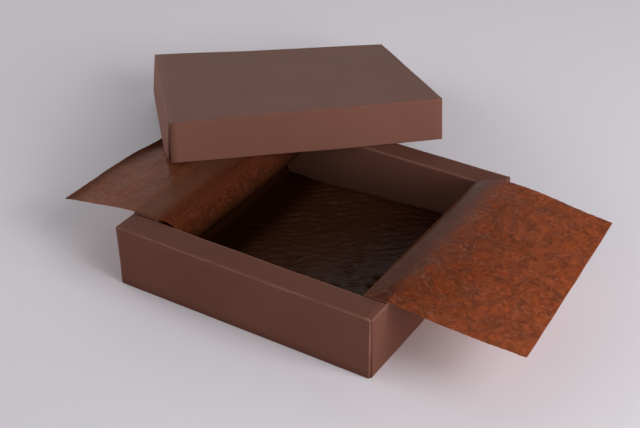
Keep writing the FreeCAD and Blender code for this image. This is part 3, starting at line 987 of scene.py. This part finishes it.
@dataclass
class Lid:
    """The lid: top panel, four walls, and tabs behind the front and back walls, laid askew on the tray.

    Attributes:
        tray: The tray that it fits.
        clearance: Between the tray and the lid's corner tabs.
        height: Outside.
        reveal: Set-back of a front or back wall's cut edge from the corner.
        tab: Length of a corner tab.
        splay: How far the left wall's bottom edge stands out at its front end.
        recess: How far that wall's front tab then stands behind the front wall.
        cut_up: How far the left wall's front bottom corner is raised.
        corner_reach: How far from the corner that starts.
        twist: Lift of the back left and front right corners, and drop of the other two.
        raised: Further lift of the back left corner.
        narrowed: How far the top's left fold comes in at its back end.
        sag: Dip of the top's middle.
        bow_y: Soft waves of the front and back walls.
        bow_z: Soft waves of the top.
        edge_middle: X and Y of the middle of the front wall's bottom edge.
        yaw: Direction of that edge, in degrees.
        film: Thickness of the liner under it.
        rest_gap: Between things that lie on one another.
    """

    tray: Tray
    clearance: float = 0.25
    height: float = 22.1
    reveal: float = 0.15
    tab: float = 12.0
    splay: float = 2.4
    recess: float = 1.5
    cut_up: float = 1.2
    corner_reach: float = 14.0
    twist: float = 1.0
    raised: float = 1.3
    narrowed: float = 2.6
    sag: float = 0.5
    bow_y: Waves = Waves(50, 110, 0, 20, 7, 22)
    bow_z: Waves = Waves(40, 100, 30, 60, 9, 21)
    edge_middle: tuple[float, float] = (-28.7, 36.8)
    yaw: float = 42.1
    film: float = 0.2
    rest_gap: float = 0.2
    name: str = "lid_card"

    @property
    def half_x(self) -> float:
        """Half the outside length."""
        return self.tray.length / 2 + self.clearance + self.tray.card * 2

    @property
    def half_y(self) -> float:
        """Half the outside width."""
        return self.tray.width / 2 + self.clearance + self.tray.card * 2

    def top_and_walls(self) -> Panel:
        """Front wall, top panel and back wall, folded as one strip.

        Returns:
            Their panel.
        """
        half_x, half_y, fold = self.half_x, self.half_y, self.tray.fold
        corners = [(-half_y, 0), (-half_y, self.height), (half_y, self.height), (half_y, 0)]
        path = FoldedPath(np.array(corners), (0, fold, fold, 0))

        def half_width(line: np.ndarray) -> np.ndarray:
            """Half the width of the strip here: the top runs on to the side folds."""
            on_top = np.abs(line[:, 0]) < half_y - fold - 0.2
            return np.where(on_top, half_x - fold, half_x - self.reveal)

        return Panel.carried(path, Plane.YZ, None, half_width, flipped=True)

    def side_wall(self, side: int) -> list[Panel]:
        """One side wall: its top fold, and the wall with the tabs that turn in behind the front and back.

        Args:
            side: -1 for the left wall and 1 for the right one.

        Returns:
            Its panels.
        """
        half_x, fold = self.half_x, self.tray.fold
        tab_y = self.half_y - self.tray.card - self.tray.layer_gap
        corners = [(half_x - fold, self.height), (half_x, self.height), (half_x, self.height - fold)]
        crest = FoldedPath(np.array(corners) * (side, 1), (0, fold, 0))
        top = Panel.carried(crest, Plane.XZ, None, tab_y - fold, flipped=side < 0)

        tip = half_x - self.tab
        corners = [(tip, -tab_y), (half_x, -tab_y), (half_x, tab_y), (tip, tab_y)]
        plan = FoldedPath(np.array(corners) * (side, 1), (0, fold, fold, 0))
        wall = Panel.carried(plan, Plane.XY, 0.0, self.height - fold, flipped=side < 0)
        if side < 0:
            self.splay_out(wall)
        return [top, wall]

    def splay_out(self, wall: Panel) -> None:
        """Leans the left wall out towards its bottom, most at the front, and lifts its front bottom corner.

        Its front tab comes away from the front wall as it is pulled out.

        Args:
            wall: The left wall with its tabs, whose bottom is at z = 0.
        """
        x, y, z = (wall.points[..., i] for i in range(3))
        down = 1 - z / (self.height - self.tray.fold)
        front = np.clip(0.5 - y / (2 * self.half_y), 0, 1)
        corner = smooth_step(-y, self.half_y - self.corner_reach, self.half_y)
        wall.points[..., 0] = x - self.splay * down * (0.17 + 0.83 * front - 0.25 * corner)
        wall.points[..., 1] = y + self.recess * down * smooth_step(-y, self.half_y - 5, self.half_y - 1)
        wall.points[..., 2] = z + self.cut_up * corner * down

    def settle(self, panels: Sequence[Panel]) -> None:
        """Twists the lid a little, draws its left fold in at the back, and lets top and walls bow softly.

        With the shares x/half and y/half, the twist lifts by minus their product. Where it would press the
        lid's rim down, it acts on the top only. The top sags by the product of 1 - share^2 both ways.

        Args:
            panels: All of the lid's, in its own frame.
        """
        for panel in panels:
            x, y, z = (panel.points[..., i] for i in range(3))
            right, back = x / self.half_x, y / self.half_y
            from_right, from_front = (1 - right) / 2, (1 + back) / 2
            level = np.clip(z / self.height, 0, 1)
            inner = np.clip((1 - right ** 2) * (1 - back ** 2), 0, 1)
            lift = -self.twist * right * back
            lift = np.where(lift < 0, lift * level, lift) + self.raised * (from_right * from_front) ** 2
            lift -= self.sag * inner * level ** 2
            panel.points[..., 0] = x + self.narrowed * from_right * from_front * (0.3 + 0.7 * level)
            panel.points[..., 2] = z + lift + 0.08 * self.bow_z.at(x, y)
            panel.points[..., 1] = y + 0.15 * (1 - level) * self.bow_y.at(x, y)

    def resting_place(self) -> tuple[np.ndarray, np.ndarray]:
        """Where the lid lies: its front edge bridges the left and far rims and its back is on the table.

        Returns:
            The middle of the rim's plane, and the lid's three axes as the rows of a matrix.
        """
        tray = self.tray
        yaw = math.radians(self.yaw)
        along = np.array([math.cos(yaw), math.sin(yaw), 0.0])
        middle = np.array([*self.edge_middle, 0.0])
        left_reach = (tray.rim - tray.length / 2 - middle[0]) / along[0]
        far_reach = (tray.width / 2 - middle[1]) / along[1]
        left_z = tray.end_height + self.film + self.rest_gap * 2
        far_z = tray.wall_height + self.rest_gap
        fall = (far_z - left_z) / (far_reach - left_reach)
        middle[2] = left_z - fall * left_reach
        along[2] = fall
        along /= np.linalg.norm(along)
        lowest = middle[2] - abs(along[2]) * self.half_x
        tilt = math.asin((lowest - self.rest_gap / 2) / (self.half_y * 2))
        back = np.array([-math.sin(yaw) * math.cos(tilt), math.cos(yaw) * math.cos(tilt), -math.sin(tilt)])
        up = np.cross(along, back)
        up /= np.linalg.norm(up)
        back = np.cross(up, along)
        return middle + back * self.half_y, np.array([along, back, up])

    def build(self, card: bpy.types.Material, cut: bpy.types.Material) -> bpy.types.Object:
        """Makes the lid in its own frame, lays it on the tray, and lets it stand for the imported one.

        Args:
            card: Finish of the board.
            cut: Finish of its cut edges.

        Returns:
            The piece.
        """
        panels = [self.top_and_walls(), *self.side_wall(-1), *self.side_wall(1)]
        self.settle(panels)
        middle, axes = self.resting_place()
        for panel in panels:
            panel.points = middle + panel.points @ axes
        piece = make_piece(self.name, panels, (card, cut), self.tray.card, -1.0)
        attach(piece, "root")
        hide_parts("lid")
        return piece


@dataclass
class Liner:
    """The glassine strip: over the left rim, down through the tray, and out over the right rim.

    Its course is a folded path at a few stations from the near edge to the far one, eased between them.

    Attributes:
        tray: The tray that it lies in.
        half_width: Half the strip's width.
        film: Thickness of the film as modelled.
        lift: Height of the film's middle above the end rims.
        step: Spacing of the grid's points.
        out_left: How far it reaches past the left wall.
        out_right: How far it reaches past the right wall.
        stations: Y of the places across the strip at which its course is given.
        wavelets: Short steep waves on the floor.
        patches: Where those are strong or weak.
        rumple: The fine crumpling of the roll and the flaps.
        swell: Long soft waves everywhere.
    """

    tray: Tray
    half_width: float = 55.6
    film: float = 0.1
    lift: float = 0.18
    step: float = 1.0
    out_left: float = 44.2
    out_right: float = 65.8
    stations: tuple[float, ...] = (-56.0, -24.0, 2.0, 28.0, 56.0)
    wavelets: Waves = Waves(3.6, 7.0, 113, 22, 60, 31)
    patches: Waves = Waves(18, 40, 45, 60, 12, 32)
    rumple: Waves = Waves(2.4, 4.5, 60, 60, 60, 33)
    swell: Waves = Waves(16, 34, 70, 30, 16, 34)
    name: str = "glassine_liner"

    def courses(self) -> tuple[np.ndarray, tuple[float, ...]]:
        """The path's corners at each station, and their bend radii.

        Returns:
            Corners shaped (corners, stations, 2) as x and z, and the radii.
        """
        wall_x = self.tray.length / 2
        cavity_x = wall_x - self.tray.rim
        over = self.tray.end_height + self.lift
        rim_x = wall_x - self.tray.right_rim
        left, right = -wall_x - self.out_left, wall_x + self.out_right
        # X and what the stations add to it, Z and what they add to that, bend radius
        rows = (
            (left, 0, over, (-7.4, -7.4, -8.6, -11.9, -16.4), 0.0),
            (left + 22.0, 0, over, (-3.2, -3.2, -3.7, -5.0, -6.5), 60.0),
            (-wall_x, -1.5, over, 0.1, 14.0),
            (-cavity_x, 0, over, (0.4, 0.35, 0.0, -0.1, -0.1), 60.0),
            (24.7 - cavity_x, (0.0, -0.4, 0.0, -0.7, -1.9), over, (0.7, 0.5, -0.5, -1.0, -1.3), 9.0),
            (-cavity_x, -1.0, 0, (3.2, 3.2, 3.4, 4.0, 4.4), 2.6),
            (13.5 - cavity_x, 0, 0, (3.7, 3.7, 3.7, 3.9, 4.2), 9.0),
            (20.5 - cavity_x, 0, 0, (3.9, 3.9, 3.9, 4.0, 3.9), 9.0),
            (30.0 - cavity_x, 0, 0, (5.0, 5.0, 5.0, 4.8, 4.0), 20.0),
            (cavity_x * 0.55, 0, 0, (7.2, 7.4, 7.6, 7.8, 7.6), 40.0),
            (cavity_x, -4.5, 0, (10.2, 10.0, 10.2, 9.6, 9.2), 9.0),
            (rim_x, -0.3, over, 0.1, 0.8),
            (rim_x, (0.6, 2.2, 2.5, 2.0, 1.2), over, (0.1, 1.5, 1.9, 1.8, 1.4), 2.0),
            (wall_x, (-3.0, 6.0, 3.5, 3.5, 2.5), over, (0.5, 3.0, 4.2, 5.2, 6.4), 45.0),
            (wall_x, (23.0, 25.0, 27.0, 28.0, 30.0), over, (-1.8, -0.6, 0.9, 2.3, 3.6), 90.0),
            (right, (0.0, -1.8, -3.2, -4.6, -6.2), over, (-2.8, -2.4, -1.6, -0.9, -0.1), 0.0),
        )
        each = np.zeros(len(self.stations))
        corners = [np.stack([x + (each + dx), z + (each + dz)], axis=1) for x, dx, z, dz, _ in rows]
        return np.array(corners), tuple(row[-1] for row in rows)

    def surface(self) -> Panel:
        """The strip as a grid: its course at every Y, and each point moved along its normal by the crinkle.

        Returns:
            Its panel. Its "crease" says how finely crumpled the film is.
        """
        courses, radii = self.courses()
        count = math.ceil(self.half_width * 2 / self.step) + 1
        y = np.linspace(-self.half_width, self.half_width, count)
        corners = np.stack([self.eased(course, y) for course in courses])
        line, _ = FoldedPath(corners, radii, step=self.step, arc_parts=9, fine_ends=False).sample()
        line = self.evened(line)
        points = np.stack([line[..., 0], np.broadcast_to(y, line.shape[:2]), line[..., 1]], axis=2)
        pieces = np.linalg.norm(np.diff(line, axis=0), axis=2).mean(axis=1)
        walked = np.concatenate([[0.0], np.cumsum(pieces)])
        flat = np.stack(np.broadcast_arrays(walked[:, None], y[None, :]), axis=2)
        crease = self.crumpled(points)
        points += self.normals(points) * self.crinkle(points, flat)[..., None]
        return Panel(points, flat, crease)

    def evened(self, line: np.ndarray) -> np.ndarray:
        """Spreads each course's points evenly: every point moves to an equal share of the course's length.

        Args:
            line: Courses, shaped (points, stations, 2).

        Returns:
            The same courses, with as many points as the mean length takes at this strip's step.
        """
        pieces = np.linalg.norm(np.diff(line, axis=0), axis=2)
        walked = np.concatenate([np.zeros((1, line.shape[1])), np.cumsum(pieces, axis=0)])
        count = math.ceil(float(walked[-1].mean()) / self.step) + 1
        share = np.linspace(0.0, 1.0, count)
        courses = [np.stack([np.interp(share * far[-1], far, course[:, axis]) for axis in (0, 1)], axis=1)
                   for far, course in zip(walked.T, np.swapaxes(line, 0, 1))]
        return np.stack(courses, axis=1)

    def eased(self, course: np.ndarray, y: np.ndarray) -> np.ndarray:
        """A smooth curve through one corner's places at the stations.

        Between two stations it is the cubic that meets both places with both slopes, where a station's
        slope comes from its neighbours: (2t^3 - 3t^2 + 1)a + (t^3 - 2t^2 + t)a' + (3t^2 - 2t^3)b +
        (t^3 - t^2)b'.

        Args:
            course: The corner's place at each station, shaped (stations, 2).
            y: Where it is wanted.

        Returns:
            Its places, shaped (len(y), 2).
        """
        stations = np.array(self.stations)
        slopes = np.gradient(course, stations, axis=0)
        k = np.clip(np.searchsorted(stations, y) - 1, 0, len(stations) - 2)
        gap = (stations[k + 1] - stations[k])[:, None]
        t = (y - stations[k])[:, None] / gap
        start, end = course[k], course[k + 1]
        into, out = slopes[k] * gap, slopes[k + 1] * gap
        return ((2 * t**3 - 3 * t**2 + 1) * start + (t**3 - 2 * t**2 + t) * into
                + (3 * t**2 - 2 * t**3) * end + (t**3 - t**2) * out)

    @staticmethod
    def normals(points: np.ndarray) -> np.ndarray:
        """Unit normals of a grid: the cross product of its two directions, by differences."""
        normal = np.cross(np.gradient(points, axis=0), np.gradient(points, axis=1))
        return normal / np.linalg.norm(normal, axis=2, keepdims=True)

    def crumpled(self, points: np.ndarray) -> np.ndarray:
        """How finely crumpled the film is.

        Args:
            points: The strip.

        Returns:
            Shares: 1 on the roll inside the left rim, 0.5 on and past that rim, 0 from the floor's middle on.
        """
        x, z = points[..., 0], points[..., 2]
        past_rim = smooth_step(-x, 50.0, 65.0) * smooth_step(z, 24.0, 30.0)
        return smooth_step(-x, 14.0, 41.0) * (1 - 0.5 * past_rim)

    def crinkle(self, points: np.ndarray, flat: np.ndarray) -> np.ndarray:
        """How far each point stands off the smooth strip.

        On the floor it is wavelets in patches and a swell; where the film hangs out or is rolled, a finer
        rumple and a swell; on a rim, and close to the left wall's foot, nothing.

        Args:
            points: The smooth strip.
            flat: Its points on the flat sheet.

        Returns:
            Distances in millimetres, shaped (rows, columns).
        """
        u, v = flat[..., 0], flat[..., 1]
        x, z = points[..., 0], points[..., 2]
        wavelets, patches, rumple, swell = (
            waves.at(u, v) for waves in (self.wavelets, self.patches, self.rumple, self.swell))
        patches = np.clip(0.7 + 0.4 * patches, 0.2, 1.6)
        wall_x = self.tray.length / 2
        floor = smooth_step(z, 16.0, 9.0)
        on_rim = np.where(x < 0, smooth_step(-x, 53.0, 57.0), smooth_step(x, 52.0, 56.0))
        on_rim *= smooth_step(wall_x + 6.0 - np.abs(x), 0.0, 6.0)
        hung = smooth_step(np.abs(x), wall_x, wall_x + 8.0)
        rolled = (1 - floor) * (1 - hung) * (1 - on_rim)
        height = floor * smooth_step(x, -54.0, -42.0) * (0.25 * wavelets * patches + 0.10 * swell)
        height += hung * (0.06 * rumple + 0.12 * swell)
        return height + rolled * (0.08 * rumple + 0.08 * swell)

    def build(self, finish: bpy.types.Material) -> bpy.types.Object:
        """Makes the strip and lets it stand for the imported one.

        Args:
            finish: The glassine.

        Returns:
            The piece.
        """
        panel = self.surface()
        piece = make_piece(self.name, [panel], (finish,), self.film, 0.0)
        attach(piece, "root")
        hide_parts("liner")
        return piece


# ---- Table, light and camera ----


@dataclass(frozen=True)
class SoftLight:
    """A square lamp that shines at the box.

    Attributes:
        name: Its name.
        azimuth: Where it stands, in degrees from +X towards +Y.
        elevation: Height above the table, in degrees.
        distance: From the box, in metres.
        size: Its side, in metres.
        power: In watts.
        colour: Its tint.
    """

    name: str
    azimuth: float
    elevation: float
    distance: float
    size: float
    power: float
    colour: tuple[float, float, float] = (1.0, 1.0, 1.0)

    def build(self, target: Vector) -> None:
        """Hangs the lamp.

        Args:
            target: What it points at.
        """
        lamp = bpy.data.lights.new(self.name, "AREA")
        lamp.shape = "SQUARE"
        lamp.size = self.size
        lamp.energy = self.power
        lamp.color = self.colour
        point_at(link_object(self.name, lamp), target, self.azimuth, self.elevation, self.distance)


def point_at(thing: bpy.types.Object, target: Vector, azimuth: float, elevation: float,
             distance: float) -> None:
    """Stands a lamp or the camera off from a target, and turns it to face that.

    Args:
        thing: The lamp or camera.
        target: A point.
        azimuth: Where it stands, in degrees from +X towards +Y.
        elevation: Height above the table, in degrees.
        distance: From the target, in metres.
    """
    a, e = math.radians(azimuth), math.radians(elevation)
    out = Vector((math.cos(a) * math.cos(e), math.sin(a) * math.cos(e), math.sin(e)))
    thing.location = target + out * distance
    thing.rotation_euler = (-out).to_track_quat("-Z", "Y").to_euler()


@dataclass(frozen=True)
class Viewpoint:
    """The camera's place, by what it looks at.

    Attributes:
        aim: Point in the middle of the view, in metres.
        azimuth: Where it stands, in degrees from +X towards +Y.
        elevation: Above the table, in degrees.
        distance: From the aim, in metres.
        lens: Focal length, in millimetres.
        sensor: Width of the sensor, in millimetres.
    """

    aim: tuple[float, float, float] = (0.00301, -0.00376, 0.02807)
    azimuth: float = -58.34
    elevation: float = 32.88
    distance: float = 0.657
    lens: float = 75.92
    sensor: float = 36.0

    def build(self) -> None:
        """Makes the camera and sets it as the scene's own."""
        data = bpy.data.cameras.new("camera")
        data.lens = self.lens
        data.sensor_width = self.sensor
        camera = link_object("camera", data)
        point_at(camera, Vector(self.aim), self.azimuth, self.elevation, self.distance)
        bpy.context.scene.camera = camera


@dataclass(frozen=True)
class Studio:
    """The pale table, the soft lamps and the pale surroundings.

    Attributes:
        lights: The lamps.
        table_size: Side of the table, in metres.
        horizon: Strength of the surroundings low down on the left.
        zenith: Their strength overhead.
        target: What the lamps point at, in metres.
    """

    lights: tuple[SoftLight, ...] = (
        SoftLight("key", -5.0, 24.0, 0.8, 0.4, 3.9),
        SoftLight("high_right", 0.0, 40.0, 1.5, 0.8, 6.3),
        SoftLight("low_front", -25.0, 12.0, 1.5, 0.6, 9.4),
        SoftLight("left_fill", 180.0, 18.0, 1.5, 0.8, 6.2),
        SoftLight("back", 115.0, 38.0, 1.5, 0.8, 1.5),
    )
    table_size: float = 8.0
    horizon: float = 2.15
    zenith: float = 0.07
    target: tuple[float, float, float] = (0.0, 0.0, 0.02)

    def build(self) -> None:
        """Sets up everything that isn't the box."""
        half = self.table_size / 2
        mesh = bpy.data.meshes.new("table")
        mesh.from_pydata([(-half, -half, 0), (half, -half, 0), (half, half, 0), (-half, half, 0)], [],
                         [(0, 1, 2, 3)])
        mesh.materials.append(TableFinish().material())
        table = link_object("table", mesh)
        for light in self.lights:
            light.build(Vector(self.target))
        self.surroundings()
        bpy.context.scene.view_settings.view_transform = "Standard"

    def surroundings(self) -> None:
        """A world seen plain by the camera: pale low down, dim overhead.

        Low down it is brightest on the left, and dark on the right.
        """
        world = bpy.data.worlds.new("surroundings")
        recipe = Recipe(world)
        x, y, z = recipe.parts(recipe.node("ShaderNodeTexCoord").outputs["Generated"])
        leftward = (0.0 - x) / (x * x + y * y + 1e-6) ** 0.5    # the 1e-6 keeps it sound straight overhead
        low = self.horizon * leftward.between(-0.7, 0.7)
        sky = low - z.between(0.2, 0.7) * (low - self.zenith)
        seen = Signal(recipe, recipe.node("ShaderNodeLightPath").outputs["Is Camera Ray"])
        background = recipe.node("ShaderNodeBackground", None, {
            "Color": recipe.blend(seen, (1.0, 1.0, 1.0, 1.0), (0.6, 0.57, 0.6, 1.0)),
            "Strength": sky + seen * (1.0 - sky),
        })
        recipe.node("ShaderNodeOutputWorld", None, {"Surface": background.outputs[0]})
        bpy.context.scene.world = world


def main() -> None:
    """Builds the box, piece by piece, and the studio round it."""
    logging.basicConfig(level=logging.INFO, format="%(message)s")
    tray_card = CardFinish("tray_card").material()
    lid_card = CardFinish("lid_card", (0.123, 0.05, 0.0352, 1.0), (0.142, 0.0602, 0.044, 1.0),
                          wear_and_highlight=0.15, gloss=0.045).material()
    cut_edge = CutEdgeFinish("cut_edge").material()
    glassine = GlassineFinish("glassine").material()

    tray = Tray.from_frame()
    lid = Lid(tray)
    liner = Liner(tray)
    pieces = [tray.build(tray_card, cut_edge), lid.build(lid_card, cut_edge), liner.build(glassine)]
    for piece in pieces:
        log.info("%s: %d faces before thickness", piece.name, len(piece.data.polygons))
    Viewpoint().build()
    Studio().build()


if __name__ == "__main__":
    main()
